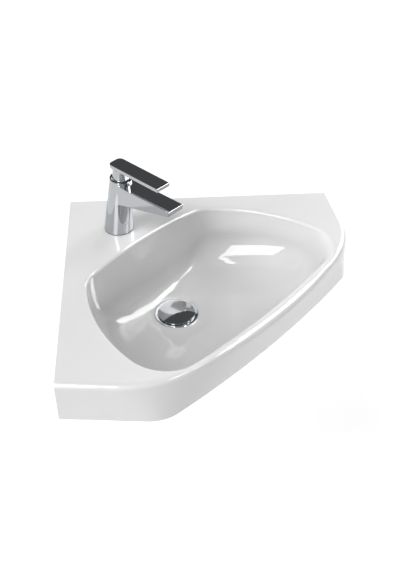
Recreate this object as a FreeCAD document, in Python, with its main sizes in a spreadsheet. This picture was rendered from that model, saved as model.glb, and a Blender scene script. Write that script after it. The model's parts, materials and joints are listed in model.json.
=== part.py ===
import FreeCAD, Part
import Sketcher
import math
import os
import re
from FreeCAD import Placement, Rotation, Vector

# A corner basin of glazed ceramic with a single lever tap and a press plug waste.
# The origin is the corner of the room at the height of the rim: +X runs along the back wall,
# -Y along the left wall, and +Z is up. Each piece is drawn in a frame whose X points out of
# the corner, along the line that the basin is symmetric about.

SIZES = {
    # The ceramic seen from above, at the rim
    "wall_side": 450,
    "end_slant": 6.25,
    "end_corner": 166,
    "front_bend": 779,
    "front_bow": 139.6,
    # The same outline at the foot of the apron, which is narrower and set back
    "apron_depth": 70,
    "foot_narrowing": 4,
    "foot_corner": 60,
    "foot_bend": 1800,
    "foot_setback": 14.6,
    # Thickness of the ceramic, and what is ground off it to make the two flat backs
    "wall_trim": 1,
    "skirt_wall": 13,
    "deck_wall": 13,
    "bowl_wall": 11,
    # The mouth of the bowl: eight arcs, each running into the next
    "bowl_back": 171.2,
    "bowl_ledge": 12.5,
    "bowl_wing": 103.4,
    "bowl_side_in": 65.7,
    "bowl_back_bend": 706.6,
    "bowl_back_corner": 43.6,
    "bowl_side_bend": 274.4,
    "bowl_front_corner": 64.8,
    "bowl_front_bend": 1366,
    # How the bowl falls from its mouth to the waste
    "bowl_depth": 116.5,
    "bowl_fullness": 2.6,
    "lip_width": 24,
    "lip_sharpness": 8,
    # Rounded edges of the ceramic
    "rim_round": 8,
    "bowl_round": 5,
    "foot_bevel": 2,
    # Holes for the wall bolts
    "bolt_along": 280,
    "bolt_down": 38,
    "bolt_radius": 8,
    # Waste hole
    "waste_out": 245.6,
    "waste_hole": 23,
    "waste_dish": 36.6,
    "waste_dish_depth": 4.5,
    "waste_boss": 44,
    "waste_boss_depth": 19,
    # Tap: the column leans out of the corner
    "tap_out": 119,
    "tap_hole": 17.5,
    "tap_lean": 7,
    "foot_radius": 24,
    "neck_radius": 17.7,
    "column_top": 101,
    "gasket_thick": 1.5,
    "gasket_inset": 0.5,
    # Spout
    "spout_reach": 130,
    "spout_half": 16.3,
    "spout_top": 95.5,
    "spout_fall": 1.3,
    "spout_root": 57,
    "spout_tip_under": 84,
    "spout_root_out": 4,
    "edge_round": 0.8,
    # Waterways in the tap
    "inlet_radius": 4.5,
    "inlet_depth": 12,
    "inlet_out": 2,
    "inlet_apart": 15,
    "way_radius": 2.6,
    "way_out": 3,
    "port_out": 6.5,
    "channel_radius": 3.5,
    "channel_start": 14,
    "channel_up": 67,
    "channel_length": 98,
    "channel_rise": 11.3,
    # Aerator
    "aerator_in": 16,
    "aerator_radius": 9.2,
    "aerator_height": 7.5,
    "aerator_wall": 1.4,
    "aerator_seal": 1.6,
    "core_height": 5,
    "core_hole": 0.9,
    "core_ring": 4.4,
    # Cartridge, measured along the leaning axis
    "chamber_floor": 72,
    "seal_thick": 1.5,
    "base_thick": 4,
    "fixed_thick": 3,
    "moving_thick": 3,
    "moving_radius": 8.8,
    "moving_back": 2,
    "carrier_thick": 4.8,
    "flange_thick": 1.4,
    "housing_radius": 12.5,
    "housing_wall": 1.2,
    "collar_radius": 9.4,
    "collar_height": 4.4,
    "turret_radius": 7.6,
    "turret_top": 103.5,
    "nut_radius": 13.8,
    "nut_thick": 4,
    "recess_radius": 14.3,
    "recess_flare": 1.7,
    "recess_flare_depth": 4,
    "pivot_up": 99,
    "pin_radius": 1.25,
    "spindle_width": 6,
    "spindle_top": 117,
    "ball_arm": 12,
    "ball_radius": 2.6,
    # Lever
    "hub_radius": 13.6,
    "hub_wall": 1.5,
    "hub_sunk": 0.4,
    "hub_ceiling": 109.5,
    "hub_top": 121,
    "boss_radius": 5,
    "boss_down": 3,
    "lever_back": 1.2,
    "lever_half": 13.8,
    "lever_reach": 105.5,
    "lever_top": 126.8,
    "lever_fall": 2.4,
    "lever_thick": 6,
    "lever_back_corner": 8,
    "screw_up": 114.5,
    "screw_radius": 2.5,
    "screw_length": 7,
    "plug_radius": 3.2,
    "plug_thick": 2,
    # Fixing under the deck
    "stud_radius": 3.9,
    "stud_back": 12.5,
    "stud_in": 10,
    "stud_down": 58,
    "shoe_radius": 25,
    "shoe_mouth": 17,
    "shoe_mouth_out": 11,
    "shoe_gap": 30,
    "rubber_shoe": 3,
    "steel_shoe": 2,
    "stud_nut_flats": 13,
    "stud_nut_thick": 6.5,
    "nut_chamfer": 30,
    # Waste, measured from the floor of the bowl
    "flange_radius": 36,
    "flange_rise": 0.8,
    "flange_dish": 2,
    "flange_mouth": 31.8,
    "thread_radius": 20.95,
    "tail_bore": 18.4,
    "tail_length": 84,
    "groove_gap": 1.5,
    "groove_depth": 0.7,
    "flange_bevel": 0.5,
    "waste_seal": 1.5,
    "taper_seal": 9,
    "taper_radius": 31,
    "waste_washer": 1.5,
    "waste_nut_flats": 52,
    "waste_nut_thick": 8,
    # Press plug
    "cap_radius": 31,
    "cap_gap": 0.6,
    "cap_rim": 2,
    "cap_crown": 3,
    "cap_seal_radius": 27,
    "cap_seal_width": 3,
    "stem_radius": 3,
    "stem_length": 34,
    "stem_head": 4.2,
    "barrel_radius": 7,
    "barrel_top": 12,
    "barrel_length": 40,
    "spider_top": 16,
    "spider_thick": 5,
    "spider_arm": 5,
    "spider_rim": 2,
    "spring_wire": 0.6,
    # Clearances
    "slip": 0.1,
    "running_gap": 0.05,
    "ledge_gap": 0.3,
}

doc = FreeCAD.newDocument("CornerBasin")
sheet = doc.addObject("Spreadsheet::Sheet", "Sizes")
for row, (name, number) in enumerate(SIZES.items(), start=1):
    sheet.set(f"A{row}", str(number))
    sheet.setAlias(f"A{row}", name)
doc.recompute()

reckoner = doc.addObject("App::FeaturePython", "Reckoner")
reckoner.addProperty("App::PropertyFloat", "Number")


def bound(text):
    """The text of a formula, with each size's name pointing at its cell."""
    return re.sub(r"[a-z]+(_[a-z]+)*", lambda m: f"Sizes.{m[0]}" if m[0] in SIZES else m[0], text)


def amount(text):
    """The number that a formula of sizes comes to."""
    reckoner.setExpression("Number", bound(text))
    reckoner.recompute()
    return reckoner.Number


# Frames of the pieces

OUT_OF_CORNER = Placement(Vector(0, 0, 0), Rotation(Vector(0, 0, 1), -45))
UP = Vector(0, 0, 1)
ACROSS = Vector(0, 1, 0)


def shifted(frame, out="0", up="0", turn="0", axis=ACROSS):
    """A frame moved out and up in its own directions, then turned."""
    step = Placement(Vector(amount(out), 0, amount(up)), Rotation(axis, amount(turn)))
    return frame.multiply(step)


AT_TAP = shifted(OUT_OF_CORNER, out="tap_out")
AT_LEAN = shifted(AT_TAP, turn="tap_lean")
AT_WASTE = shifted(OUT_OF_CORNER, out="waste_out", up="-bowl_depth")
SPOUT_SLOPE = "atan((spout_tip_under - spout_root) / (spout_reach - spout_root_out))"
AERATOR_OUT = "(spout_reach - aerator_in)"
AERATOR_UP = f"spout_root + ({AERATOR_OUT} - spout_root_out) * tan({SPOUT_SLOPE})"
AT_AERATOR = shifted(AT_TAP, out=AERATOR_OUT, up=AERATOR_UP, turn=f"-{SPOUT_SLOPE}")

pieces = []


def new_body(name, frame):
    body = doc.addObject("PartDesign::Body", name)
    body.Label = name
    body.Placement = frame
    pieces.append(body)
    return body


def sketch_in(body, role="XY_Plane", up="0", out="0", turn="0", axis=ACROSS):
    """A sketch on one of the body's own planes, moved and turned from there."""
    plane = [each for each in body.Origin.OriginFeatures if each.Role == role][0]
    sketch = body.newObject("Sketcher::SketchObject", "Sketch")
    sketch.AttachmentSupport = [(plane, "")]
    sketch.MapMode = "FlatFace"
    sketch.AttachmentOffset = Placement(Vector(0, 0, 0), Rotation(axis, amount(turn)))
    sketch.setExpression("AttachmentOffset.Base.x", bound(out))
    sketch.setExpression("AttachmentOffset.Base.z", bound(up))
    return sketch


def hold(sketch, kind, *spots, to):
    """A constraint of a sketch, bound to a formula."""
    number = sketch.addConstraint(Sketcher.Constraint(kind, *spots, amount(to)))
    sketch.setExpression(f"Constraints[{number}]", bound(to))


def place_point(sketch, edge, end, x, y):
    hold(sketch, "DistanceX", -1, 1, edge, end, to=x)
    hold(sketch, "DistanceY", -1, 1, edge, end, to=y)


def draw_polygon(sketch, corners):
    """A closed outline of straight lines through corners whose places are formulas."""
    first = sketch.GeometryCount
    spots = [Vector(amount(x), amount(y), 0) for x, y in corners]
    last = len(spots) - 1
    for step, spot in enumerate(spots):
        sketch.addGeometry(Part.LineSegment(spot, spots[(step + 1) % len(spots)]))
    for step in range(len(spots)):
        follows = first if step == last else first + step + 1
        sketch.addConstraint(Sketcher.Constraint("Coincident", first + step, 2, follows, 1))
    for step, (x, y) in enumerate(corners):
        place_point(sketch, first + step, 1, x, y)


def draw_rectangle(sketch, low_x, high_x, half):
    """A rectangle between two distances out, and as wide to one side as to the other."""
    draw_polygon(sketch, [(low_x, f"-({half})"), (high_x, f"-({half})"),
                          (high_x, half), (low_x, half)])


def draw_circle(sketch, radius, x="0", y="0"):
    centre = Vector(amount(x), amount(y), 0)
    edge = sketch.addGeometry(Part.Circle(centre, UP, amount(radius)))
    hold(sketch, "Radius", edge, to=radius)
    place_point(sketch, edge, 3, x, y)


def draw_arc(sketch, centre, radius, start, end):
    """An arc, anticlockwise between two angles in radians."""
    return sketch.addGeometry(Part.ArcOfCircle(Part.Circle(centre, UP, radius), start, end))


def finish(feature, changes=None):
    """Builds a feature and stops if it fails, or changes no volume."""
    body = feature.getParentGeoFeatureGroup()
    doc.recompute()
    if "Invalid" in feature.State or "Error" in feature.State or feature.Shape.isNull():
        raise RuntimeError(f"{body.Label}: {feature.Name} failed")
    if changes is not None:
        change = feature.Shape.Volume - changes
        if abs(change) < 1e-6:
            raise RuntimeError(f"{body.Label}: {feature.Name} changes nothing")
    body.Tip = feature
    return feature


def volume_of(body):
    return body.Tip.Shape.Volume if body.Tip else 0.0


def spin(body, corners, cut=False, turn="0"):
    """Turns an outline of (radius, height) corners about the frame's upright axis."""
    before = volume_of(body)
    sketch = sketch_in(body, "XZ_Plane", turn=turn, axis=UP)
    draw_polygon(sketch, corners)
    feature = body.newObject("PartDesign::Groove" if cut else "PartDesign::Revolution", "Turned")
    feature.Profile = sketch
    feature.ReferenceAxis = (sketch, ["V_Axis"])
    feature.Angle = 360
    return finish(feature, before)


def extrude(body, sketch, length, cut=False, back=False, both=False):
    """Pads or cuts a sketch: a pad goes up its normal and a cut goes down, unless back."""
    before = volume_of(body)
    feature = body.newObject("PartDesign::Pocket" if cut else "PartDesign::Pad", "Straight")
    feature.Profile = sketch
    feature.Reversed = back
    feature.SideType = "Symmetric" if both else "One side"
    feature.setExpression("Length", bound(length))
    return finish(feature, before)


def loft(body, sketches, cut=False, ruled=False):
    before = volume_of(body)
    feature = body.newObject("PartDesign::SubtractiveLoft" if cut else "PartDesign::AdditiveLoft", "Loft")
    feature.Profile = sketches[0]
    feature.Sections = sketches[1:]
    feature.Ruled = ruled
    return finish(feature, before)


def round_edges(body, radius, wanted):
    """Rounds the edges of the body so far that a test picks out."""
    before = volume_of(body)
    solid = body.Tip
    names = [f"Edge{i}" for i, edge in enumerate(solid.Shape.Edges, start=1) if wanted(edge)]
    feature = body.newObject("PartDesign::Fillet", "Round")
    feature.Base = (solid, names)
    feature.setExpression("Radius", bound(radius))
    return finish(feature, before)


def bore(body, radius, top, depth, x="0", y="0", lean="0", out="0"):
    """Drills down from a height, along the frame's upright axis or one leaning from it."""
    sketch = sketch_in(body, up=top, out=out, turn=lean)
    draw_circle(sketch, radius, x, y)
    return extrude(body, sketch, depth, cut=True)


def ring(name, frame, inner, outer, low, high):
    """A plain ring or washer between two heights."""
    body = new_body(name, frame)
    spin(body, [(inner, low), (outer, low), (outer, high), (inner, high)])
    return body


def draw_hexagon(sketch, flats, x="0", y="0"):
    """A hexagon given by its width across flats and its centre."""
    point = f"{flats} / sqrt(3)"
    flat = f"{flats} / 2"
    draw_polygon(sketch, [
        (f"{x} + {point}", y), (f"{x} + {point} / 2", f"{y} + {flat}"),
        (f"{x} - {point} / 2", f"{y} + {flat}"), (f"{x} - {point}", y),
        (f"{x} - {point} / 2", f"{y} - {flat}"), (f"{x} + {point} / 2", f"{y} - {flat}"),
    ])


# Outline of the ceramic from above

FRONT_OUT = "(wall_side / sqrt(2) + front_bow)"


def draw_basin_outline(sketch, side, corner, bend, out, wall="0", trim="0"):
    """Two wall sides, two slanting ends and a bowed front with rounded corners, or the
    same outline moved inwards by a wall's thickness, with a trim left on the wall sides."""
    root = f"({wall} - {trim}) * sqrt(2)"
    inner_side = f"({side} - ({wall} - {trim}) * (1 - tan(end_slant)) - {wall} / cos(end_slant))"
    end_x = f"{root} + {inner_side} / sqrt(2)"
    end_y = f"{inner_side} / sqrt(2)"
    corner = f"({corner} - {wall})"
    bend = f"({bend} - {wall})"
    hub_x = f"{out} - {wall} - {bend}"

    slant = math.radians(amount("end_slant") - 45)
    small = amount(corner)
    large = amount(bend)
    start = Vector(amount(root), 0, 0)
    end = Vector(amount(end_x), amount(end_y), 0)
    hub = Vector(amount(hub_x), 0, 0)
    along = Vector(math.cos(slant), math.sin(slant), 0)
    inward = Vector(math.sin(slant), -math.cos(slant), 0)
    reach = end + inward * small - hub
    run = math.sqrt(reach.dot(along) ** 2 - reach.dot(reach) + (large - small) ** 2) - reach.dot(along)
    touch = end + along * run
    centre = touch + inward * small
    turn_in = math.atan2(-inward.y, -inward.x)
    turn_out = math.atan2(centre.y, centre.x - hub.x)

    def mirrored(spot):
        return Vector(spot.x, -spot.y, 0)

    sketch.addGeometry(Part.LineSegment(start, mirrored(end)))
    sketch.addGeometry(Part.LineSegment(mirrored(end), mirrored(touch)))
    draw_arc(sketch, mirrored(centre), small, -turn_in, -turn_out)
    draw_arc(sketch, hub, large, -turn_out, turn_out)
    draw_arc(sketch, centre, small, turn_out, turn_in)
    sketch.addGeometry(Part.LineSegment(touch, end))
    sketch.addGeometry(Part.LineSegment(end, start))
    for edge, follows in ((0, 1), (5, 6), (6, 0)):
        sketch.addConstraint(Sketcher.Constraint("Coincident", edge, 2, follows, 1))
    for edge in (1, 2, 3, 4):
        sketch.addConstraint(Sketcher.Constraint("Tangent", edge, 2, edge + 1, 1))
    place_point(sketch, 0, 1, root, "0")
    place_point(sketch, 1, 1, end_x, f"-({end_y})")
    place_point(sketch, 5, 2, end_x, end_y)
    place_point(sketch, 3, 3, hub_x, "0")
    for edge, radius in ((2, corner), (3, bend), (4, corner)):
        hold(sketch, "Radius", edge, to=radius)


# Mouth of the bowl, and how it narrows to the waste

BOWL_FRONT = f"({FRONT_OUT} - bowl_ledge)"
BOWL_HALF = "(wall_side / sqrt(2) - bowl_wing)"
BOWL_SIDE = f"({BOWL_FRONT} - bowl_side_in)"


def meeting(centre_a, radius_a, centre_b, radius_b):
    """The upper of the two points at given distances from two centres."""
    between = centre_b - centre_a
    span = between.Length
    along = (radius_a ** 2 - radius_b ** 2 + span ** 2) / (2 * span)
    height = math.sqrt(radius_a ** 2 - along ** 2)
    foot = centre_a + between * (along / span)
    side = Vector(-between.y, between.x, 0) * (height / span)
    return foot + side if side.y > 0 else foot - side


def bowl_section(angle, lip="lip_width"):
    """Formulas for the bowl's outline at one step of its fall, from 0 degrees at the mouth to
    90 at the waste: walls fall along a squared quarter round, and the front starts with a lip."""
    left = f"cos({angle}) ^ (2 / bowl_fullness)"
    fallen = f"sin({angle}) ^ (2 / bowl_fullness)"
    rear = "(waste_out - waste_dish)"
    fore = "(waste_out + waste_dish)"
    return {
        "down": f"bowl_depth * {fallen}",
        "back": f"{rear} + (bowl_back - {rear}) * {left}",
        "front": f"{fore} + ({BOWL_FRONT} - lip_width - {fore}) * {left}"
                 f" + {lip} * (1 - {fallen}) ^ lip_sharpness",
        "half": f"waste_dish + ({BOWL_HALF} - waste_dish) * {left}",
        "side_out": f"waste_out + ({BOWL_SIDE} - waste_out) * {left}",
        "back_bend": f"waste_dish + (bowl_back_bend - waste_dish) * {left}",
        "back_corner": f"waste_dish + (bowl_back_corner - waste_dish) * {left}",
        "side_bend": f"waste_dish + (bowl_side_bend - waste_dish) * {left}",
        "front_corner": f"waste_dish + (bowl_front_corner - waste_dish) * {left}",
        "front_bend": f"waste_dish + (bowl_front_bend - waste_dish) * {left}",
    }


def bowl_turns(shape, wall):
    """Where the arcs of one outline meet: the centres of its corners, and the angles."""
    number = {name: amount(text) for name, text in shape.items()}
    grown = amount(wall)
    front_hub = Vector(number["front"] - number["front_bend"], 0, 0)
    back_hub = Vector(number["back"] + number["back_bend"], 0, 0)
    side_hub = Vector(number["side_out"], number["half"] - number["side_bend"], 0)
    front_corner = meeting(front_hub, number["front_bend"] - number["front_corner"],
                           side_hub, number["side_bend"] - number["front_corner"])
    back_corner = meeting(side_hub, number["side_bend"] - number["back_corner"],
                          back_hub, number["back_bend"] - number["back_corner"])
    hubs = [front_hub, front_corner, side_hub, back_corner, back_hub]
    radii = [number[name] + grown for name in
             ("front_bend", "front_corner", "side_bend", "back_corner", "back_bend")]
    pairs = ((front_hub, front_corner), (side_hub, front_corner),
             (side_hub, back_corner), (back_hub, back_corner))
    turns = [math.atan2(b.y - a.y, b.x - a.x) for a, b in pairs]
    return hubs, radii, turns


def draw_bowl_outline(sketch, shape, wall="0"):
    hubs, radii, turns = bowl_turns(shape, wall)
    full = 2 * math.pi
    draw_arc(sketch, hubs[0], radii[0], -turns[0], turns[0])
    for step in (1, 2, 3):
        draw_arc(sketch, hubs[step], radii[step], turns[step - 1], turns[step])
    draw_arc(sketch, hubs[4], radii[4], turns[3], full - turns[3])
    for step in (3, 2, 1):
        under = Vector(hubs[step].x, -hubs[step].y, 0)
        draw_arc(sketch, under, radii[step], full - turns[step], full - turns[step - 1])
    for edge in range(8):
        sketch.addConstraint(Sketcher.Constraint("Tangent", edge, 2, (edge + 1) % 8, 1))
    bends = ["front_bend", "front_corner", "side_bend", "back_corner", "back_bend",
             "back_corner", "side_bend", "front_corner"]
    for edge, name in enumerate(bends):
        hold(sketch, "Radius", edge, to=f"{shape[name]} + {wall}")
    rise = f"{shape['half']} - ({shape['side_bend']})"
    place_point(sketch, 0, 3, f"{shape['front']} - ({shape['front_bend']})", "0")
    place_point(sketch, 4, 3, f"{shape['back']} + {shape['back_bend']}", "0")
    place_point(sketch, 2, 3, shape["side_out"], rise)
    place_point(sketch, 6, 3, shape["side_out"], f"-({rise})")


def draw_waste_circle(sketch, shape, radius):
    """The circle at the foot of the bowl, in arcs that match the outline above it."""
    turns = bowl_turns(shape, "0")[2]
    full = 2 * math.pi
    ends = [-turns[0], *turns, *[full - turn for turn in reversed(turns)]]
    centre = Vector(amount("waste_out"), 0, 0)
    for start, end in zip(ends, ends[1:]):
        draw_arc(sketch, centre, amount(radius), start, end)
    for edge in range(8):
        sketch.addConstraint(Sketcher.Constraint("Coincident", edge, 2, (edge + 1) % 8, 1))
        hold(sketch, "Radius", edge, to=radius)
    place_point(sketch, 0, 3, "waste_out", "0")


FALL = (0, 6, 14, 28, 45, 62, 76)


def cut_bowl(body):
    """The inside of the bowl: a smooth skin through its outlines, down to the waste."""
    sections = []
    for angle in FALL:
        shape = bowl_section(angle)
        sketch = sketch_in(body, up=f"-({shape['down']})")
        draw_bowl_outline(sketch, shape)
        sections.append(sketch)
    foot = sketch_in(body, up="-bowl_depth")
    draw_waste_circle(foot, bowl_section(FALL[-1]), "waste_dish")
    loft(body, [*sections, foot], cut=True)


def add_bowl_shell(body):
    """The outside of the bowl, one wall wider and one wall lower than its inside."""
    sections = []
    for angle in FALL:
        shape = bowl_section(angle, lip="lip_width / 2")
        sketch = sketch_in(body, up=f"-({shape['down']}) - bowl_wall")
        draw_bowl_outline(sketch, shape, "bowl_wall")
        sections.append(sketch)
    foot = sketch_in(body, up="-bowl_depth - bowl_wall")
    draw_waste_circle(foot, bowl_section(FALL[-1]), "waste_dish + bowl_wall")
    loft(body, [*sections, foot])


FOOT_SIDE = "(wall_side - foot_narrowing)"
FOOT_OUT = f"({FRONT_OUT} - foot_setback)"


def level(edge, height):
    box = edge.BoundBox
    return abs(box.ZMin - height) < 0.01 and abs(box.ZMax - height) < 0.01


def along_wall(edge):
    """True of an edge beside one of the two wall planes, which stand at 45 degrees."""
    middle = edge.valueAt((edge.FirstParameter + edge.LastParameter) / 2)
    return middle.x - abs(middle.y) < 0.01


def make_basin():
    body = new_body("basin", OUT_OF_CORNER)
    rim = sketch_in(body)
    draw_basin_outline(rim, "wall_side", "end_corner", "front_bend", FRONT_OUT,
                       trim="wall_trim")
    foot = sketch_in(body, up="-apron_depth + foot_bevel")
    draw_basin_outline(foot, FOOT_SIDE, "foot_corner", "foot_bend", FOOT_OUT, trim="wall_trim")
    sole = sketch_in(body, up="-apron_depth")
    draw_basin_outline(sole, FOOT_SIDE, "foot_corner", "foot_bend", FOOT_OUT,
                       "foot_bevel", "foot_bevel + wall_trim")
    loft(body, [rim, foot, sole], ruled=True)
    round_edges(body, "rim_round", lambda edge: level(edge, 0) and not along_wall(edge))
    flat_backs = sketch_in(body, up="1")
    draw_polygon(flat_backs, [("0", "0"), ("wall_side", "wall_side"), ("-wall_side", "wall_side"),
                              ("-wall_side", "-wall_side"), ("wall_side", "-wall_side")])
    extrude(body, flat_backs, "apron_depth + 2", cut=True)

    under = sketch_in(body, up="-deck_wall")
    draw_basin_outline(under, "wall_side", "end_corner", "front_bend", FRONT_OUT, "skirt_wall")
    open_foot = sketch_in(body, up="-apron_depth")
    draw_basin_outline(open_foot, FOOT_SIDE, "foot_corner", "foot_bend", FOOT_OUT, "skirt_wall")
    loft(body, [under, open_foot], cut=True, ruled=True)

    add_bowl_shell(body)
    boss = sketch_in(body, up="-bowl_depth - waste_boss_depth")
    draw_circle(boss, "waste_boss", "waste_out")
    extrude(body, boss, "waste_boss_depth - waste_dish_depth")
    cut_bowl(body)

    def bowl_edge(edge):
        spot = edge.valueAt((edge.FirstParameter + edge.LastParameter) / 2)
        inside = spot.x > amount("bowl_back") - 1 and spot.x < amount(BOWL_FRONT) + 1
        return level(edge, 0) and inside and abs(spot.y) < amount(BOWL_HALF) + 1

    round_edges(body, "bowl_round", bowl_edge)
    bore(body, "waste_dish", "-bowl_depth + 1", "waste_dish_depth + 1", x="waste_out")
    bore(body, "waste_hole", "-bowl_depth", "waste_boss_depth + 1", x="waste_out")
    bore(body, "tap_hole", "1", "deck_wall + 2", x="tap_out")
    for turn, along in (("45", "bolt_along"), ("135", "-bolt_along")):
        hole = sketch_in(body, "XZ_Plane", turn=turn)
        draw_circle(hole, "bolt_radius", along, "-bolt_down")
        extrude(body, hole, "skirt_wall + 6", cut=True, back=True)


# Tap body

SHOULDER = "(chamber_floor + seal_thick + base_thick + fixed_thick + running_gap + moving_thick"\
           " + carrier_thick + 2 * ledge_gap + flange_thick + housing_wall)"
NUT_TOP = f"({SHOULDER} + nut_thick)"


def leaned_out(up):
    return f"({up}) * sin(tap_lean)"


def leaned_up(up):
    return f"({up}) * cos(tap_lean)"


def lean_sketch(body, up):
    """A sketch square to the leaning axis of the tap, some way up it."""
    return sketch_in(body, out=leaned_out(up), up=leaned_up(up), turn="tap_lean")


def make_tap_body():
    body = new_body("tap_body", AT_TAP)
    side = sketch_in(body, "XZ_Plane")
    draw_polygon(side, [
        ("spout_root_out", "spout_root"),
        ("spout_reach - spout_fall", "spout_tip_under"),
        ("spout_reach", "spout_top - spout_reach * tan(spout_fall)"),
        ("spout_root_out", "spout_top - spout_root_out * tan(spout_fall)"),
    ])
    extrude(body, side, "2 * spout_half", both=True)
    round_edges(body, "edge_round", lambda edge: edge.BoundBox.XMax > amount("spout_root_out") + 1)

    foot = sketch_in(body, up="gasket_thick")
    draw_circle(foot, "foot_radius")
    neck = lean_sketch(body, "column_top")
    draw_circle(neck, "neck_radius")
    loft(body, [foot, neck])

    spin(body, [
        ("0", "chamber_floor"),
        ("housing_radius + slip", "chamber_floor"),
        ("housing_radius + slip", SHOULDER),
        ("nut_radius + slip", SHOULDER),
        ("nut_radius + slip", NUT_TOP),
        ("recess_radius", NUT_TOP),
        ("recess_radius", "column_top - recess_flare_depth"),
        ("recess_radius + recess_flare", "column_top"),
        ("recess_radius + recess_flare", "column_top + 1"),
        ("0", "column_top + 1"),
    ], cut=True, turn="-tap_lean")

    inlets = sketch_in(body)
    draw_circle(inlets, "inlet_radius", "inlet_out", "inlet_apart / 2")
    draw_circle(inlets, "inlet_radius", "inlet_out", "-inlet_apart / 2")
    extrude(body, inlets, "gasket_thick + inlet_depth", cut=True, back=True)
    ways = lean_sketch(body, "chamber_floor + 1")
    draw_circle(ways, "way_radius", "-way_out", "port_out")
    draw_circle(ways, "way_radius", "-way_out", "-port_out")
    extrude(body, ways, "chamber_floor - inlet_depth + 1", cut=True)
    port = lean_sketch(body, "chamber_floor + 1")
    draw_circle(port, "way_radius", "port_out")
    extrude(body, port, "chamber_floor + 2 - channel_up", cut=True)
    channel = sketch_in(body, out="channel_start", up="channel_up", turn="90 - channel_rise")
    draw_circle(channel, "channel_radius")
    extrude(body, channel, "channel_length", cut=True, back=True)
    mouth = sketch_in(body, out=AERATOR_OUT, up=AERATOR_UP, turn=f"-{SPOUT_SLOPE}")
    draw_circle(mouth, "aerator_radius + slip")
    extrude(body, mouth, "aerator_height + aerator_seal + slip", cut=True, back=True)
    stud = sketch_in(body)
    draw_circle(stud, "stud_radius + slip", "-stud_back")
    extrude(body, stud, "stud_in + slip", cut=True, back=True)


# Aerator, upwards from the underside of the spout

def make_aerator():
    ring("aerator_seal", AT_AERATOR, "aerator_radius - 3 * aerator_wall", "aerator_radius",
         "aerator_height", "aerator_height + aerator_seal")
    shell = new_body("aerator_shell", AT_AERATOR)
    spin(shell, [
        ("aerator_radius - 2 * aerator_wall", "slip"),
        ("aerator_radius", "slip"),
        ("aerator_radius", "aerator_height"),
        ("aerator_radius - aerator_wall", "aerator_height"),
        ("aerator_radius - aerator_wall", "aerator_height - core_height"),
        ("aerator_radius - 2 * aerator_wall", "aerator_height - core_height"),
    ])
    core = new_body("aerator_core", AT_AERATOR)
    spin(core, [
        ("0", "aerator_height - core_height"),
        ("aerator_radius - aerator_wall - slip", "aerator_height - core_height"),
        ("aerator_radius - aerator_wall - slip", "aerator_height"),
        ("0", "aerator_height"),
    ])
    hole = sketch_in(core, up="aerator_height")
    draw_circle(hole, "core_hole", "core_ring")
    first = extrude(core, hole, "core_height", cut=True)
    pattern = core.newObject("PartDesign::PolarPattern", "Holes")
    pattern.Originals = [first]
    pattern.Axis = (hole, ["N_Axis"])
    pattern.Angle = 360
    pattern.Occurrences = 8
    finish(pattern, first.Shape.Volume)


# Cartridge: each height is measured up the leaning axis, from the piece below

SEAL_TOP = "(chamber_floor + seal_thick)"
BASE_TOP = f"({SEAL_TOP} + base_thick)"
FIXED_TOP = f"({BASE_TOP} + fixed_thick)"
MOVING_LOW = f"({FIXED_TOP} + running_gap)"
MOVING_TOP = f"({MOVING_LOW} + moving_thick)"
CARRIER_TOP = f"({MOVING_TOP} + carrier_thick)"
FLANGE_LOW = f"({CARRIER_TOP} + ledge_gap)"
FLANGE_TOP = f"({FLANGE_LOW} + flange_thick)"
CEILING = f"({FLANGE_TOP} + ledge_gap)"
INNER = "(housing_radius - housing_wall)"
BALL_UP = "(pivot_up - ball_arm)"


def cut_ports(body, top, depth):
    """Two inlet holes and an outlet hole through a piece of the cartridge."""
    holes = sketch_in(body, up=top)
    draw_circle(holes, "way_radius", "-way_out", "port_out")
    draw_circle(holes, "way_radius", "-way_out", "-port_out")
    draw_circle(holes, "way_radius", "port_out")
    extrude(body, holes, depth, cut=True)


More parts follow.
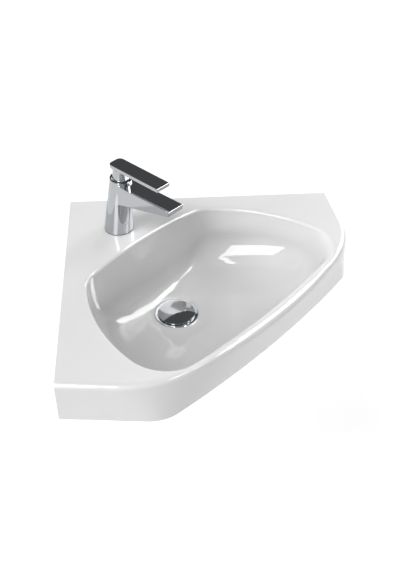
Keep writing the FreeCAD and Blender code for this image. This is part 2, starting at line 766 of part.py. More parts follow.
def make_cartridge():
    seal = ring("cartridge_seal", AT_LEAN, "0", f"{INNER} - slip", "chamber_floor", SEAL_TOP)
    cut_ports(seal, SEAL_TOP, "seal_thick")
    base = ring("cartridge_base", AT_LEAN, "0", f"{INNER} - slip", SEAL_TOP, BASE_TOP)
    cut_ports(base, BASE_TOP, "base_thick")
    fixed = ring("fixed_disc", AT_LEAN, "0", f"{INNER} - slip", BASE_TOP, FIXED_TOP)
    cut_ports(fixed, FIXED_TOP, "fixed_thick")

    moving = new_body("moving_disc", AT_LEAN)
    face = sketch_in(moving, up=MOVING_LOW)
    draw_circle(face, "moving_radius", "-moving_back")
    extrude(moving, face, "moving_thick")
    hollow = sketch_in(moving, up=MOVING_LOW)
    draw_circle(hollow, "moving_radius - way_radius", "-moving_back")
    extrude(moving, hollow, "moving_thick / 2", cut=True, back=True)

    carrier = new_body("disc_carrier", AT_LEAN)
    block = sketch_in(carrier, up=MOVING_TOP)
    draw_circle(block, "moving_radius", "-moving_back")
    extrude(carrier, block, "carrier_thick")
    bore(carrier, "ball_radius + running_gap", CARRIER_TOP, f"{CARRIER_TOP} - {MOVING_TOP} - ledge_gap")

    housing = new_body("cartridge_housing", AT_LEAN)
    spin(housing, [
        (INNER, SEAL_TOP),
        ("housing_radius", SEAL_TOP),
        ("housing_radius", SHOULDER),
        ("collar_radius", SHOULDER),
        ("collar_radius", f"{SHOULDER} + collar_height"),
        ("turret_radius + running_gap", f"{SHOULDER} + collar_height"),
        ("turret_radius + running_gap", CEILING),
        (INNER, CEILING),
    ])

    rotor = new_body("cartridge_rotor", AT_LEAN)
    spin(rotor, [
        ("0", FLANGE_LOW),
        (f"{INNER} - ledge_gap", FLANGE_LOW),
        (f"{INNER} - ledge_gap", FLANGE_TOP),
        ("turret_radius", FLANGE_TOP),
        ("turret_radius", "turret_top"),
        ("0", "turret_top"),
    ])
    slot = sketch_in(rotor, up="turret_top")
    half_long = "(turret_radius - housing_wall)"
    draw_rectangle(slot, f"-{half_long}", half_long, "spindle_width / 2 + running_gap")
    extrude(rotor, slot, f"turret_top - {FLANGE_LOW}", cut=True)
    eye = sketch_in(rotor, "XZ_Plane")
    draw_circle(eye, "pin_radius", "0", "pivot_up")
    extrude(rotor, eye, "4 * turret_radius", cut=True, both=True)

    pin = new_body("lever_pin", AT_LEAN)
    rod = sketch_in(pin, "XZ_Plane")
    draw_circle(rod, "pin_radius", "0", "pivot_up")
    extrude(pin, rod, "2 * turret_radius - 2", both=True)

    ring("cartridge_nut", AT_LEAN, "collar_radius + slip", "nut_radius", SHOULDER, NUT_TOP)


def make_spindle():
    body = new_body("lever_spindle", AT_LEAN)
    spin(body, [
        ("0", f"{BALL_UP} - ball_radius / 2"),
        ("ball_radius * 0.7", f"{BALL_UP} - ball_radius / 2"),
        ("ball_radius", BALL_UP),
        ("ball_radius * 0.7", f"{BALL_UP} + ball_radius / 2"),
        ("ball_radius * 0.7", f"{BALL_UP} + 2 * ball_radius"),
        ("0", f"{BALL_UP} + 2 * ball_radius"),
    ])
    square = sketch_in(body, up=f"{BALL_UP} + 2 * ball_radius")
    draw_rectangle(square, "-spindle_width / 2", "spindle_width / 2", "spindle_width / 2")
    extrude(body, square, f"spindle_top - {BALL_UP} - 2 * ball_radius")
    eye = sketch_in(body, "XZ_Plane")
    draw_circle(eye, "pin_radius + running_gap", "0", "pivot_up")
    extrude(body, eye, "2 * spindle_width", cut=True, both=True)


# Lever

def draw_plate(sketch, back, front, half, corner):
    """A rectangle whose two rear corners are round."""
    low_x, high_x = amount(back), amount(front)
    wide, small = amount(half), amount(corner)
    inner_x, inner_y = low_x + small, wide - small
    sketch.addGeometry(Part.LineSegment(Vector(inner_x, -wide, 0), Vector(high_x, -wide, 0)))
    sketch.addGeometry(Part.LineSegment(Vector(high_x, -wide, 0), Vector(high_x, wide, 0)))
    sketch.addGeometry(Part.LineSegment(Vector(high_x, wide, 0), Vector(inner_x, wide, 0)))
    draw_arc(sketch, Vector(inner_x, inner_y, 0), small, math.pi / 2, math.pi)
    sketch.addGeometry(Part.LineSegment(Vector(low_x, inner_y, 0), Vector(low_x, -inner_y, 0)))
    draw_arc(sketch, Vector(inner_x, -inner_y, 0), small, math.pi, math.pi * 3 / 2)
    for edge in (0, 1):
        sketch.addConstraint(Sketcher.Constraint("Coincident", edge, 2, edge + 1, 1))
    for edge in (2, 3, 4, 5):
        sketch.addConstraint(Sketcher.Constraint("Tangent", edge, 2, (edge + 1) % 6, 1))
    place_point(sketch, 1, 1, front, f"-{half}")
    place_point(sketch, 1, 2, front, half)
    for edge, side in ((3, ""), (5, "-")):
        hold(sketch, "Radius", edge, to=corner)
        place_point(sketch, edge, 3, f"{back} + {corner}", f"{side}({half} - {corner})")


def make_lever():
    body = new_body("lever_handle", AT_TAP)
    plate = sketch_in(body, up="lever_top", turn="lever_fall")
    draw_plate(plate, "-lever_back", "lever_reach", "lever_half", "lever_back_corner")
    extrude(body, plate, "lever_thick", back=True)
    round_edges(body, "edge_round", lambda edge: True)
    spin(body, [
        ("hub_radius - hub_wall", "column_top - hub_sunk"),
        ("hub_radius", "column_top - hub_sunk"),
        ("hub_radius", "hub_top"),
        ("0", "hub_top"),
        ("0", "hub_ceiling - boss_down"),
        ("boss_radius", "hub_ceiling - boss_down"),
        ("boss_radius", "hub_ceiling"),
        ("hub_radius - hub_wall", "hub_ceiling"),
    ], turn="-tap_lean")
    socket = lean_sketch(body, "hub_ceiling - boss_down - 1")
    half = "(spindle_width / 2 + running_gap)"
    draw_rectangle(socket, f"-{half}", half, half)
    extrude(body, socket, "spindle_top + slip - hub_ceiling + boss_down + 1", cut=True, back=True)
    screw = sketch_in(body, out=leaned_out("screw_up"), up=leaned_up("screw_up"), turn="tap_lean - 90")
    draw_circle(screw, "screw_radius + running_gap")
    extrude(body, screw, "hub_radius + 1", cut=True, back=True)
    plug = sketch_in(body, out=f"{leaned_out('screw_up')} - (hub_radius - plug_thick) * cos(tap_lean)",
                     up=f"{leaned_up('screw_up')} + (hub_radius - plug_thick) * sin(tap_lean)",
                     turn="tap_lean - 90")
    draw_circle(plug, "plug_radius + running_gap")
    extrude(body, plug, "plug_thick + 2", cut=True, back=True)


def make_lever_fixings():
    screw = new_body("lever_screw", AT_LEAN)
    rod = sketch_in(screw, "YZ_Plane")
    draw_circle(rod, "screw_radius", "0", "screw_up")
    rod.setExpression("AttachmentOffset.Base.z", bound("-spindle_width / 2"))
    extrude(screw, rod, "screw_length", back=True)
    key = sketch_in(screw, "YZ_Plane")
    draw_hexagon(key, "screw_radius", "0", "screw_up")
    key.setExpression("AttachmentOffset.Base.z", bound("-spindle_width / 2 - screw_length"))
    extrude(screw, key, "screw_length / 2", cut=True, back=True)

    plug = new_body("lever_plug", AT_LEAN)
    disc = sketch_in(plug, "YZ_Plane")
    draw_circle(disc, "plug_radius", "0", "screw_up")
    disc.setExpression("AttachmentOffset.Base.z", bound("-hub_radius + plug_thick"))
    extrude(plug, disc, "plug_thick", back=True)


# Fixing of the tap under the deck

def make_shoe(name, top, thick):
    """A horseshoe washer held by the stud, and open where the hoses pass."""
    body = new_body(name, AT_TAP)
    disc = sketch_in(body, up=top)
    draw_circle(disc, "shoe_radius")
    extrude(body, disc, thick, back=True)
    mouth = sketch_in(body, up=top)
    draw_circle(mouth, "shoe_mouth", "shoe_mouth_out")
    extrude(body, mouth, thick, cut=True)
    gap = sketch_in(body, up=top)
    draw_rectangle(gap, "shoe_mouth_out", "shoe_radius + 1", "shoe_gap / 2")
    extrude(body, gap, thick, cut=True)
    bore(body, "stud_radius + slip", top, thick, x="-stud_back")


def chamfer_nut(body, flats, low, high):
    """Turns the corners off both ends of a nut."""
    for end, inward in ((high, "-"), (low, "+")):
        spin(body, [
            (f"{flats} / 2", end),
            (f"{flats}", end),
            (f"{flats}", f"{end} {inward} {flats} / 2 * tan(nut_chamfer)"),
        ], cut=True)


def make_fixing():
    ring("tap_gasket", AT_TAP, "tap_hole", "foot_radius - gasket_inset", "0", "gasket_thick")
    stud = new_body("tap_stud", AT_TAP)
    rod = sketch_in(stud, up="stud_in")
    draw_circle(rod, "stud_radius", "-stud_back")
    extrude(stud, rod, "stud_in + stud_down", back=True)
    make_shoe("rubber_shoe", "-deck_wall", "rubber_shoe")
    make_shoe("steel_shoe", "-deck_wall - rubber_shoe", "steel_shoe")
    nut = new_body("stud_nut", shifted(AT_TAP, out="-stud_back"))
    top = "(-deck_wall - rubber_shoe - steel_shoe)"
    face = sketch_in(nut, up=top)
    draw_hexagon(face, "stud_nut_flats")
    extrude(nut, face, "stud_nut_thick", back=True)
    chamfer_nut(nut, "stud_nut_flats", f"({top} - stud_nut_thick)", top)
    bore(nut, "stud_radius + slip", top, "stud_nut_thick")


# Waste, measured from the floor of the bowl

SEAT = "(-waste_dish_depth)"
BOSS_FOOT = "(-waste_boss_depth)"
TAPER_FOOT = f"({BOSS_FOOT} - taper_seal)"
WASHER_FOOT = f"({TAPER_FOOT} - waste_washer)"


def make_waste():
    flange = new_body("waste_flange", AT_WASTE)
    seat_top = f"({SEAT} + waste_seal)"
    groove_top = f"({WASHER_FOOT} - waste_nut_thick - groove_gap)"
    spin(flange, [
        ("tail_bore", "-tail_length"),
        ("thread_radius", "-tail_length"),
        ("thread_radius", f"{groove_top} - groove_gap"),
        ("thread_radius - groove_depth", f"{groove_top} - groove_gap"),
        ("thread_radius - groove_depth", groove_top),
        ("thread_radius", groove_top),
        ("thread_radius", seat_top),
        ("flange_radius", seat_top),
        ("flange_radius", "flange_rise - flange_bevel"),
        ("flange_radius - flange_bevel", "flange_rise"),
        ("flange_mouth", "flange_rise"),
        ("tail_bore", "flange_rise - flange_dish"),
    ])
    ring("waste_seal", AT_WASTE, "thread_radius + slip", "flange_radius - 1", SEAT, seat_top)
    taper = new_body("taper_seal", AT_WASTE)
    spin(taper, [
        ("thread_radius + slip", TAPER_FOOT),
        ("taper_radius", TAPER_FOOT),
        ("taper_radius", f"{TAPER_FOOT} + taper_seal / 3"),
        ("waste_hole - slip", BOSS_FOOT),
        ("thread_radius + slip", BOSS_FOOT),
    ])
    ring("waste_washer", AT_WASTE, "thread_radius + slip", "taper_radius", WASHER_FOOT, TAPER_FOOT)
    nut = new_body("waste_nut", AT_WASTE)
    face = sketch_in(nut, up=WASHER_FOOT)
    draw_hexagon(face, "waste_nut_flats")
    extrude(nut, face, "waste_nut_thick", back=True)
    chamfer_nut(nut, "waste_nut_flats", f"({WASHER_FOOT} - waste_nut_thick)", WASHER_FOOT)
    bore(nut, "thread_radius + slip", WASHER_FOOT, "waste_nut_thick")


# Press plug: the cap, its seal and its stem rise and sink together in a barrel that a
# spider holds in the tail

def dish_up(radius):
    """Height of the flange's dish at some radius."""
    return f"(flange_rise - flange_dish * (flange_mouth - ({radius})) / (flange_mouth - tail_bore))"


CAP_FOOT = "(flange_rise + cap_gap)"


def make_cap():
    """The cap's edge is bevelled, and its top is part of a large ball."""
    body = new_body("plug_cap", AT_WASTE)
    ball = "((cap_radius ^ 2 + cap_crown ^ 2) / (2 * cap_crown))"
    top = f"({CAP_FOOT} + cap_rim + cap_crown)"
    corners = [("0", top), ("0", CAP_FOOT), ("cap_radius - cap_rim / 2", CAP_FOOT),
               ("cap_radius", f"{CAP_FOOT} + cap_rim / 2"), ("cap_radius", f"{CAP_FOOT} + cap_rim")]
    section = sketch_in(body, "XZ_Plane")
    spots = [Vector(amount(x), amount(y), 0) for x, y in corners]
    for start, end in zip(spots, spots[1:]):
        section.addGeometry(Part.LineSegment(start, end))
    lean = math.asin(amount("cap_radius") / amount(ball))
    draw_arc(section, Vector(0, amount(f"{top} - {ball}"), 0), amount(ball),
             math.pi / 2 - lean, math.pi / 2)
    for edge in range(5):
        section.addConstraint(Sketcher.Constraint("Coincident", edge, 2, (edge + 1) % 5, 1))
    for edge, (x, y) in enumerate(corners[1:]):
        place_point(section, edge, 2, x, y)
    hold(section, "Radius", 4, to=ball)
    feature = body.newObject("PartDesign::Revolution", "Turned")
    feature.Profile = section
    feature.ReferenceAxis = (section, ["V_Axis"])
    feature.Angle = 360
    finish(feature)


def make_plug():
    make_cap()
    seal = new_body("plug_seal", AT_WASTE)
    inner = "cap_seal_radius - cap_seal_width"
    spin(seal, [
        (inner, f"{dish_up(inner)} + slip"),
        ("cap_seal_radius", f"{dish_up('cap_seal_radius')} + slip"),
        ("cap_seal_radius", CAP_FOOT),
        (inner, CAP_FOOT),
    ])
    stem = new_body("plug_stem", AT_WASTE)
    spin(stem, [
        ("0", "-stem_length"),
        ("stem_head", "-stem_length"),
        ("stem_head", "-stem_length + stem_head"),
        ("stem_radius", "-stem_length + stem_head"),
        ("stem_radius", CAP_FOOT),
        ("0", CAP_FOOT),
    ])
    barrel = new_body("plug_barrel", AT_WASTE)
    wall = "(barrel_radius - stem_head - ledge_gap)"
    foot = "(-barrel_top - barrel_length)"
    spin(barrel, [
        ("0", foot),
        ("barrel_radius", foot),
        ("barrel_radius", "-barrel_top"),
        ("stem_radius + running_gap", "-barrel_top"),
        ("stem_radius + running_gap", f"-barrel_top - {wall}"),
        ("stem_head + ledge_gap", f"-barrel_top - {wall}"),
        ("stem_head + ledge_gap", f"{foot} + {wall}"),
        ("0", f"{foot} + {wall}"),
    ])
    ring("plug_spring", AT_WASTE, "stem_head - 2 * spring_wire", "stem_head",
         f"{foot} + {wall}", "-stem_length - running_gap")
    make_spider()


def make_spider():
    body = new_body("plug_spider", AT_WASTE)
    top = "-spider_top"
    arm = sketch_in(body, up=top)
    draw_rectangle(arm, "0", "tail_bore - slip - spider_rim / 2", "spider_arm / 2")
    first = extrude(body, arm, "spider_thick", back=True)
    pattern = body.newObject("PartDesign::PolarPattern", "Arms")
    pattern.Originals = [first]
    pattern.Axis = (arm, ["N_Axis"])
    pattern.Angle = 360
    pattern.Occurrences = 3
    finish(pattern, first.Shape.Volume)
    rim = sketch_in(body, up=top)
    draw_circle(rim, "tail_bore - slip")
    draw_circle(rim, "tail_bore - slip - spider_rim")
    extrude(body, rim, "spider_thick", back=True)
    hub = sketch_in(body, up=top)
    draw_circle(hub, "barrel_radius + spider_rim")
    extrude(body, hub, "spider_thick", back=True)
    bore(body, "barrel_radius + running_gap", top, "spider_thick")


make_basin()
make_tap_body()
make_aerator()
make_cartridge()
make_spindle()
make_lever()
make_lever_fixings()
make_fixing()
make_waste()
make_plug()

doc.recompute()
for thing in doc.Objects:
    if "Invalid" in thing.State or "Error" in thing.State:
        raise RuntimeError(f"{thing.Label} has an error")
for body in pieces:
    if body.Shape.isNull() or not body.Shape.isValid() or len(body.Shape.Solids) != 1:
        raise RuntimeError(f"{body.Label} is not one valid solid")

os.makedirs("parts", exist_ok=True)
for body in pieces:
    body.Shape.exportStep(f"parts/{body.Label}.step")
    print(body.Label, round(body.Shape.Volume / 1000, 2), "cm3")
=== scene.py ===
import bpy
import json
import math
from mathutils import Euler, Matrix, Vector


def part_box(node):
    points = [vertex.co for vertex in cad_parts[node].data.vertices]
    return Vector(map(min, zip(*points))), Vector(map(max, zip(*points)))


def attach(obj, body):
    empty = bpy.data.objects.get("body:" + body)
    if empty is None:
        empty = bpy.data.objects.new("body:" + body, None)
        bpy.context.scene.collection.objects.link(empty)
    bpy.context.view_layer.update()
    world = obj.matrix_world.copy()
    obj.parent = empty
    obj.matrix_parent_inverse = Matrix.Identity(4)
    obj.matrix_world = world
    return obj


# Corner basin of white glazed china with a chromed lever tap and press plug, hung in the corner of two walls.
# Metres. The room's corner at rim height is the origin, +X runs along the back wall and -Y along the left wall.

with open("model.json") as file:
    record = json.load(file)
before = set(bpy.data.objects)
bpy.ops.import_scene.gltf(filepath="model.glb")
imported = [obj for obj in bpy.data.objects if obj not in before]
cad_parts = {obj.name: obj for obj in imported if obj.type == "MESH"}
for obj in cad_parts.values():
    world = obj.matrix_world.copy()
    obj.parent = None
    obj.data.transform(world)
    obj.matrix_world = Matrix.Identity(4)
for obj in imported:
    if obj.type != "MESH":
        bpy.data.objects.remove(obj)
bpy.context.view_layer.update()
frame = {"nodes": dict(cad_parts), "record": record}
nodes = frame["nodes"]
print("frame loaded:", len(nodes), "CAD nodes")


def hexColour(text):
    # sRGB hex to the linear values that shaders want, by the curve of the sRGB standard
    parts = [int(text[i:i + 2], 16) / 255 for i in (1, 3, 5)]
    return [p / 12.92 if p <= 0.04045 else ((p + 0.055) / 1.055) ** 2.4 for p in parts] + [1.0]


def addNode(tree, kind, settings=None, links=None):
    # settings go to inputs by name or number, or else to the node itself; links are input -> output socket
    node = tree.nodes.new(kind)
    for name, value in (settings or {}).items():
        if isinstance(name, int) or name in node.inputs:
            node.inputs[name].default_value = value
        else:
            setattr(node, name, value)
    for name, socket in (links or {}).items():
        tree.links.new(socket, node.inputs[name])
    return node


def newMaterial(name, **surface):
    # a Principled surface, whose fixed numbers sit on its own sockets
    made = bpy.data.materials.new(name)
    made.use_nodes = True
    shader = made.node_tree.nodes["Principled BSDF"]
    for socket, value in surface.items():
        shader.inputs[socket.replace("_", " ")].default_value = value
    return made, made.node_tree, shader


# vitreous china, cast, sprayed with clear glaze and fired: a white body under clear glass, so it mirrors
# lights sharply over a soft white, and waves a little where the glaze ran. The faces that meet the walls and
# the sole are wiped before firing, and show the matt biscuit, whose grain is drawn coarse enough to show
china = {
    "body": "#E1E1E1", "bodyRoughness": 0.45, "bodyShine": 0.2,
    "ior": 1.52, "glazeRoughness": 0.03,
    "waveSize": 0.05, "waveDepth": 0.00005, "waveDetail": 1.0,
    "peelSize": 0.004, "peelDepth": 0.000003, "peelDetail": 0.0,
    "biscuit": "#CFC8BC", "biscuitRoughness": 0.85,
    "clayGrain": 0.0012, "clayDepth": 0.00004, "clayDetail": 3.0,
    "wallEdge": 0.0006, "sole": -0.070, "soleEdge": 0.0004, "soleFacing": -0.8,  # where it is bare
    "cloudAndShadeGrey": "#CBCBCB", "shadeFrom": -0.006, "shadeTo": -0.05,  # painted shade: the grey that the hollow of the bowl is drawn towards, which the random clouding also reaches
    "wallTilt": 0.05, "floorTilt": 0.25, "cloud": 0.15,
}


def glazedChina():
    made, tree, shader = newMaterial(
        "vitreous china, clear glaze", IOR=china["ior"], Coat_Roughness=china["glazeRoughness"],
        Coat_IOR=china["ior"], Specular_IOR_Level=china["bodyShine"])
    place = addNode(tree, "ShaderNodeTexCoord").outputs["Object"]
    spot = addNode(tree, "ShaderNodeSeparateXYZ", {}, {"Vector": place}).outputs
    normal = addNode(tree, "ShaderNodeNewGeometry").outputs["Normal"]
    facing = addNode(tree, "ShaderNodeSeparateXYZ", {}, {"Vector": normal}).outputs
    # bare is 1 on the two wall faces and the sole
    left = addNode(tree, "ShaderNodeMapRange", {"From Min": china["wallEdge"], "From Max": 0.0},
                   {"Value": spot["X"]})
    back = addNode(tree, "ShaderNodeMapRange", {"From Min": -china["wallEdge"], "From Max": 0.0},
                   {"Value": spot["Y"]})
    walls = addNode(tree, "ShaderNodeMath", {"operation": "MAXIMUM"},
                    {0: left.outputs[0], 1: back.outputs[0]})
    atSole = addNode(tree, "ShaderNodeMath", {"operation": "COMPARE", 1: china["sole"], 2: china["soleEdge"]},
                     {0: spot["Z"]})
    down = addNode(tree, "ShaderNodeMath", {"operation": "LESS_THAN", 1: china["soleFacing"]},
                   {0: facing["Z"]})
    sole = addNode(tree, "ShaderNodeMath", {"operation": "MULTIPLY"},
                   {0: atSole.outputs[0], 1: down.outputs[0]})
    bare = addNode(tree, "ShaderNodeMath", {"operation": "MAXIMUM"},
                   {0: walls.outputs[0], 1: sole.outputs[0]})
    glass = addNode(tree, "ShaderNodeMath", {"operation": "SUBTRACT", 0: 1.0}, {1: bare.outputs[0]})
    # the slow wave and fine peel of the glaze, and the grain of the bare clay
    wave = addNode(tree, "ShaderNodeTexNoise",
                   {"Scale": 1 / china["waveSize"], "Detail": china["waveDetail"]}, {"Vector": place})
    peel = addNode(tree, "ShaderNodeTexNoise",
                   {"Scale": 1 / china["peelSize"], "Detail": china["peelDetail"]}, {"Vector": place})
    clay = addNode(tree, "ShaderNodeTexNoise",
                   {"Scale": 1 / china["clayGrain"], "Detail": china["clayDetail"]}, {"Vector": place})
    low = addNode(tree, "ShaderNodeBump", {"Distance": china["waveDepth"]}, {"Height": wave.outputs["Fac"]})
    fine = addNode(tree, "ShaderNodeBump", {"Distance": china["peelDepth"]},
                   {"Height": peel.outputs["Fac"], "Normal": low.outputs["Normal"]})
    rough = addNode(tree, "ShaderNodeBump", {"Distance": china["clayDepth"]},
                    {"Height": clay.outputs["Fac"], "Strength": bare.outputs[0],
                     "Normal": fine.outputs["Normal"]})
    # painted shade: the hollow of the bowl is drawn a shade greyer, more so lower down and on faces that turn
    # up, and the glaze's random clouding is added to it
    deep = addNode(tree, "ShaderNodeMapRange",
                   {"From Min": china["shadeFrom"], "From Max": china["shadeTo"]}, {"Value": spot["Z"]})
    facesUp = addNode(tree, "ShaderNodeMapRange",
                      {"From Min": china["wallTilt"], "From Max": china["floorTilt"]}, {"Value": facing["Z"]})
    bowlShade = addNode(tree, "ShaderNodeMath", {"operation": "MULTIPLY"},
                     {0: deep.outputs[0], 1: facesUp.outputs[0]})
    cloudAndShade = addNode(tree, "ShaderNodeMath", {"operation": "MULTIPLY_ADD", "use_clamp": True, 1: china["cloud"]},
                    {0: wave.outputs["Fac"], 2: bowlShade.outputs[0]})
    glazed = addNode(tree, "ShaderNodeMix",
                     {"data_type": "RGBA", 6: hexColour(china["body"]), 7: hexColour(china["cloudAndShadeGrey"])},
                     {0: cloudAndShade.outputs[0]})
    shown = addNode(tree, "ShaderNodeMix", {"data_type": "RGBA", 7: hexColour(china["biscuit"])},
                    {0: bare.outputs[0], 6: glazed.outputs[2]})
    dull = addNode(tree, "ShaderNodeMapRange",
                   {"To Min": china["bodyRoughness"], "To Max": china["biscuitRoughness"]},
                   {"Value": bare.outputs[0]})
    for name, socket in (("Base Color", shown.outputs[2]), ("Roughness", dull.outputs[0]),
                         ("Coat Weight", glass.outputs[0]), ("Normal", rough.outputs["Normal"]),
                         ("Coat Normal", fine.outputs["Normal"])):
        tree.links.new(socket, shader.inputs[name])
    return made


# chrome plate on polished brass: a mirror, so it shows the studio, with wiping marks that only soften the
# reflection a little
chrome = {"colour": "#B0B2B5", "clean": 0.03, "wiped": 0.09, "markSize": 0.02, "markDetail": 3.0,
          "marksFrom": 0.4, "marksTo": 0.75, "waveSize": 0.03, "waveDepth": 0.00001, "waveDetail": 0.0}


def chromePlate():
    made, tree, shader = newMaterial("chrome plate, polished", Base_Color=hexColour(chrome["colour"]),
                                     Metallic=1.0)
    place = addNode(tree, "ShaderNodeTexCoord").outputs["Object"]
    marks = addNode(tree, "ShaderNodeTexNoise",
                    {"Scale": 1 / chrome["markSize"], "Detail": chrome["markDetail"]}, {"Vector": place})
    rough = addNode(tree, "ShaderNodeMapRange",
                    {"From Min": chrome["marksFrom"], "From Max": chrome["marksTo"],
                     "To Min": chrome["clean"], "To Max": chrome["wiped"]}, {"Value": marks.outputs["Fac"]})
    wave = addNode(tree, "ShaderNodeTexNoise",
                   {"Scale": 1 / chrome["waveSize"], "Detail": chrome["waveDetail"]}, {"Vector": place})
    bump = addNode(tree, "ShaderNodeBump", {"Distance": chrome["waveDepth"]}, {"Height": wave.outputs["Fac"]})
    tree.links.new(rough.outputs["Result"], shader.inputs["Roughness"])
    tree.links.new(bump.outputs["Normal"], shader.inputs["Normal"])
    return made


# the finishes of what is under the deck and inside the tap. Grain and deep are the size and depth of the marks
# that the making left, drawn a few times coarser than real ones so that they show
plainFinishes = {
    # dull yellow metal, a little scored by the lathe
    "brass": {"title": "brass, turned", "colour": "#8F7F58", "metal": 1.0, "rough": 0.34,
              "grain": 0.0006, "deep": 0.00001},
    # cool grey metal with a soft shine
    "steel": {"title": "stainless steel, drawn", "colour": "#A9ABAD", "metal": 1.0, "rough": 0.3,
              "grain": 0.0005, "deep": 0.00001},
    # matt black that shows its form only by a dull sheen
    "rubber": {"title": "EPDM rubber, moulded", "colour": "#1B1B1C", "metal": 0.0, "rough": 0.62,
               "grain": 0.0008, "deep": 0.00002},
    # milky white with a waxy shine
    "plastic": {"title": "acetal, moulded", "colour": "#E4E3DF", "metal": 0.0, "rough": 0.38,
                "grain": 0.0015, "deep": 0.00001},
    # ivory, ground so flat that it gleams
    "alumina": {"title": "alumina ceramic, lapped", "colour": "#E9E4D4", "metal": 0.0, "rough": 0.12,
                "grain": 0.0004, "deep": 0.000003},
}
grainDetail = 2.0
# handling leaves each of them a little smoother here and rougher there, in patches
patches = {"perMetre": 60.0, "detail": 2.0, "from": 0.35, "to": 0.65, "smoother": 0.8, "rougher": 1.25}


def plainFinish(slot):
    facts = plainFinishes[slot]
    made, tree, shader = newMaterial(facts["title"], Base_Color=hexColour(facts["colour"]),
                                     Metallic=facts["metal"], Roughness=facts["rough"])
    place = addNode(tree, "ShaderNodeTexCoord").outputs["Object"]
    grain = addNode(tree, "ShaderNodeTexNoise", {"Scale": 1 / facts["grain"], "Detail": grainDetail},
                    {"Vector": place})
    cloud = addNode(tree, "ShaderNodeTexNoise", {"Scale": patches["perMetre"], "Detail": patches["detail"]},
                    {"Vector": place})
    bump = addNode(tree, "ShaderNodeBump", {"Distance": facts["deep"]}, {"Height": grain.outputs["Fac"]})
    rough = addNode(tree, "ShaderNodeMapRange",
                    {"From Min": patches["from"], "From Max": patches["to"],
                     "To Min": facts["rough"] * patches["smoother"],
                     "To Max": facts["rough"] * patches["rougher"]}, {"Value": cloud.outputs["Fac"]})
    tree.links.new(rough.outputs["Result"], shader.inputs["Roughness"])
    tree.links.new(bump.outputs["Normal"], shader.inputs["Normal"])
    return made


finishes = {"glaze": glazedChina(), "chrome": chromePlate()}
finishes.update({slot: plainFinish(slot) for slot in plainFinishes})
for part in frame["record"]["subparts"]:
    for materialSlot in nodes[part["node"]].material_slots:
        materialSlot.material = finishes[part["material_slot"]]
print("finishes given to the CAD nodes")

# threads are cut on the waste tail and the tap's stud; their crests are drawn as one ridge that winds round,
# from the foot up to the nut
threads = {
    "tailThread": {"node": "waste_flange", "above": "waste_nut", "radius": 0.02095, "pitch": 0.002309,
                   "crest": 0.00062, "runOut": 0.0035, "slot": "chrome"},
    "studThread": {"node": "tap_stud", "above": "stud_nut", "radius": 0.0039, "pitch": 0.00125,
                   "crest": 0.0003, "runOut": 0.001, "slot": "brass"},
}
ridge = {"stepsPerTurn": 48, "sides": 4}


def nodeGroup(name, inputs):
    # an empty geometry tree with named inputs, given as name -> socket type
    group = bpy.data.node_groups.new(name, "GeometryNodeTree")
    group.interface.new_socket("Geometry", in_out="OUTPUT", socket_type="NodeSocketGeometry")
    for label, kind in inputs.items():
        group.interface.new_socket(label, in_out="INPUT", socket_type=kind)
    return group, group.nodes.new("NodeGroupInput").outputs, group.nodes.new("NodeGroupOutput").inputs


def windingRidge():
    group, given, result = nodeGroup("windingRidge", {
        "Radius": "NodeSocketFloat", "Pitch": "NodeSocketFloat", "Turns": "NodeSocketFloat",
        "Crest": "NodeSocketFloat", "Finish": "NodeSocketMaterial"})
    height = addNode(group, "ShaderNodeMath", {"operation": "MULTIPLY"},
                     {0: given["Pitch"], 1: given["Turns"]})
    path = addNode(group, "GeometryNodeCurveSpiral", {"Resolution": ridge["stepsPerTurn"]}, {
        "Rotations": given["Turns"], "Start Radius": given["Radius"], "End Radius": given["Radius"],
        "Height": height.outputs[0]})
    upright = addNode(group, "GeometryNodeSetCurveNormal", {"mode": "Z_UP"}, {"Curve": path.outputs["Curve"]})
    profile = addNode(group, "GeometryNodeCurvePrimitiveCircle", {"Resolution": ridge["sides"]},
                      {"Radius": given["Crest"]})
    wound = addNode(group, "GeometryNodeCurveToMesh", {"Fill Caps": True}, {
        "Curve": upright.outputs["Curve"], "Profile Curve": profile.outputs["Curve"]})
    whole = addNode(group, "GeometryNodeRealizeInstances", {}, {"Geometry": wound.outputs["Mesh"]})
    dressed = addNode(group, "GeometryNodeSetMaterial", {}, {
        "Geometry": whole.outputs["Geometry"], "Material": given["Finish"]})
    group.links.new(dressed.outputs["Geometry"], result["Geometry"])
    return group


def bakeNodes(name, group, values, at):
    # runs the tree on an empty carrier with these inputs, and keeps the result as a plain mesh in its place
    carrier = bpy.data.objects.new(name + "Carrier", bpy.data.meshes.new(name))
    bpy.context.scene.collection.objects.link(carrier)
    modifier = carrier.modifiers.new("nodes", "NODES")
    modifier.node_group = group
    sockets = {item.name: item.identifier for item in group.interface.items_tree if item.in_out == "INPUT"}
    for label, value in values.items():
        modifier[sockets[label]] = value
    shape = bpy.data.meshes.new_from_object(carrier.evaluated_get(bpy.context.evaluated_depsgraph_get()))
    bpy.data.objects.remove(carrier)
    shape.transform(Matrix.Translation(at))
    shape.name = name
    piece = bpy.data.objects.new(name, shape)
    bpy.context.scene.collection.objects.link(piece)
    return piece


ridgeTree = windingRidge()
for name, facts in threads.items():
    low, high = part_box(facts["node"])
    bottom = low[2] + facts["runOut"]
    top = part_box(facts["above"])[0][2] - facts["runOut"]
    foot = Vector(((low[0] + high[0]) / 2, (low[1] + high[1]) / 2, bottom))
    piece = bakeNodes(name, ridgeTree, {
        "Radius": facts["radius"], "Pitch": facts["pitch"], "Crest": facts["crest"],
        "Turns": (top - bottom) / facts["pitch"], "Finish": finishes[facts["slot"]]}, foot)
    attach(piece, "basin")
print("threads wound on the tail and the stud")

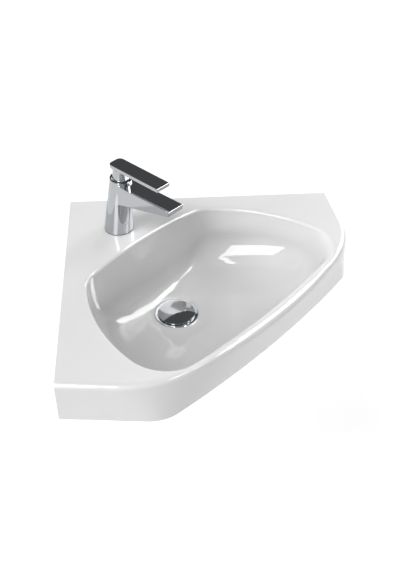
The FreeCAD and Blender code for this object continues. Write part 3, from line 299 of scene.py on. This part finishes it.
# camera of the photograph, found from the straight sides, the bowed front and the tap; lengths in pixels are
# of the photograph, and the turns are in degrees
view = {"at": (0.1374, -1.2836, 0.8121), "down": 38.03, "toRight": 3.89, "focalPixels": 868.1, "longSide": 570}
cameraData = bpy.data.cameras.new("camera")
cameraData.lens = view["focalPixels"] * cameraData.sensor_width / view["longSide"]
camera = bpy.data.objects.new("camera", cameraData)
camera.location = view["at"]
camera.rotation_euler = Euler((math.radians(90 - view["down"]), 0, math.radians(-view["toRight"])))
bpy.context.scene.collection.objects.link(camera)
bpy.context.scene.camera = camera
bpy.context.scene.view_settings.view_transform = "Standard"

# what only the glaze and the chrome show: the panes of the windows, which run from rib to rib. A rib is two
# directions from the bowl, in degrees from the viewer towards +X and degrees up, and level is what the pane
# shines at, where 1 is the white of the page
studio = {"aim": (0.17, -0.17, 0.0), "away": 4.0, "matt": 0.9}
panes = {
    "windowLeft": {"level": 9.0, "ribs": (((-14, 45), (-17, 18)), ((-49, 31), (-50, 7)))},
    "windowTop": {"level": 9.0, "ribs": (((-13, 47), (-14, 44)), ((-22, 56), (-22, 48)),
                                         ((-35, 65), (-30, 57)), ((-39, 62), (-38, 59)))},
    "windowRight": {"level": 9.0, "ribs": (((130, 13), (150, 14)), ((108, 26), (153, 32)),
                                           ((103, 38), (155, 42)), ((102, 49), (156, 50)))},
    "stripBack": {"level": 12.0, "ribs": (((95, 48), (95, 57)), ((125, 51), (125, 57)),
                                          ((155, 49), (155, 57)))},
    "stripRight": {"level": 12.0, "ribs": (((103, 46), (103, 54)), ((91, 45), (91, 53)),
                                           ((78, 37), (78, 46)), ((60, 41), (60, 52)),
                                           ((40, 40), (40, 53)))},
}


def towards(side, up):
    side, up = math.radians(side), math.radians(up)
    return Vector((math.sin(side) * math.cos(up), -math.cos(side) * math.cos(up), math.sin(up)))


def mirroredOnly(name, points, faces, levels):
    # shining faces that light nothing and that the camera doesn't see, one level for each face
    shape = bpy.data.meshes.new(name)
    shape.from_pydata(points, [], faces)
    for face, level in zip(shape.polygons, levels):
        shape.materials.append(newMaterial(
            name + " shine", Base_Color=hexColour("#000000"), Roughness=studio["matt"],
            Emission_Color=hexColour("#FFFFFF"), Emission_Strength=level)[0])
        face.material_index = face.index
    thing = bpy.data.objects.new(name, shape)
    thing.visible_camera = thing.visible_diffuse = thing.visible_shadow = False
    bpy.context.scene.collection.objects.link(thing)


for name, facts in panes.items():
    ends = [Vector(studio["aim"]) + towards(*spot) * studio["away"] for rib in facts["ribs"] for spot in rib]
    faces = [(i, i + 1, i + 3, i + 2) for i in range(0, len(ends) - 2, 2)]
    mirroredOnly(name, ends, faces, [facts["level"]] * len(faces))

# soft lights from far off, in directions as above: level is what they add to a white face turned to them, and
# spread is how wide each looks, in degrees. The glaze and the chrome don't mirror them
softLights = {
    "keyLeft": {"side": -45, "up": 50, "spread": 30, "level": 0.57},
    "left": {"side": -75, "up": 25, "spread": 30, "level": 0.3},
    "behindRight": {"side": 135, "up": 12, "spread": 20, "level": 0.45},
    "behind": {"side": 162, "up": 12, "spread": 20, "level": 0.35},
    "behindLeft": {"side": -140, "up": 12, "spread": 20, "level": 0.08},
}
for name, facts in softLights.items():
    lampData = bpy.data.lights.new(name, "SUN")
    lampData.angle = math.radians(facts["spread"])
    lampData.energy = math.pi * facts["level"]
    lamp = bpy.data.objects.new(name, lampData)
    lamp.visible_glossy = False
    lamp.rotation_euler = towards(facts["side"], facts["up"]).to_track_quat("Z", "Y").to_euler()
    bpy.context.scene.collection.objects.link(lamp)

# a dark card behind the basin and a grey one above, which the flat chrome and the waste show
cards = {"away": 4.5, "sideways": 11.0, "low": 0.7, "high": 12.6, "roofTo": -3.4, "dark": 0.09, "grey": 0.3}
edges = ((cards["away"], cards["low"]), (cards["away"], cards["high"]), (cards["roofTo"], cards["high"]))
corners = [(side * cards["sideways"], depth, height) for depth, height in edges for side in (-1, 1)]
mirroredOnly("cards", corners, [(0, 1, 3, 2), (2, 3, 5, 4)], [cards["dark"], cards["grey"]])

# pale floor, as far below as a basin hangs; the page's white is added for the camera and in reflections, so
# that only the basin's soft shadow shows on it
floor = {"down": -0.85, "reach": 6.0, "colour": "#DCDCDC", "glow": 0.32}
corners = [(x * floor["reach"], y * floor["reach"], floor["down"])
           for x, y in ((-1, -1), (1, -1), (1, 1), (-1, 1))]
floorMesh = bpy.data.meshes.new("floor")
floorMesh.from_pydata(corners, [], [(0, 1, 2, 3)])
floorPiece = bpy.data.objects.new("floor", floorMesh)
bpy.context.scene.collection.objects.link(floorPiece)


def seenWhite(tree):
    # 1 for rays from the camera, in mirrors and through glass, 0 for the rays that light things
    rays = addNode(tree, "ShaderNodeLightPath").outputs
    mirrored = addNode(tree, "ShaderNodeMath", {"operation": "MAXIMUM"},
                       {0: rays["Is Glossy Ray"], 1: rays["Is Transmission Ray"]})
    seen = addNode(tree, "ShaderNodeMath", {"operation": "MAXIMUM"},
                   {0: rays["Is Camera Ray"], 1: mirrored.outputs[0]})
    return seen.outputs[0]


floorFinish, tree, shader = newMaterial("white floor", Base_Color=hexColour(floor["colour"]),
                                        Roughness=studio["matt"], Emission_Color=hexColour("#FFFFFF"))
glow = addNode(tree, "ShaderNodeMath", {"operation": "MULTIPLY", 1: floor["glow"]}, {0: seenWhite(tree)})
tree.links.new(glow.outputs[0], shader.inputs["Emission Strength"])
floorMesh.materials.append(floorFinish)

# the room's white is seen at full, and lights the basin at less
room = {"seen": 1.0, "light": 0.4}
world = bpy.data.worlds.new("studio")
world.use_nodes = True
tree = world.node_tree
background = tree.nodes["Background"]
background.inputs["Color"].default_value = hexColour("#FFFFFF")
strength = addNode(tree, "ShaderNodeMapRange", {"To Min": room["light"], "To Max": room["seen"]},
                   {"Value": seenWhite(tree)})
tree.links.new(strength.outputs[0], background.inputs["Strength"])
bpy.context.scene.world = world
print("camera, lights, windows, cards, floor and world are in place")
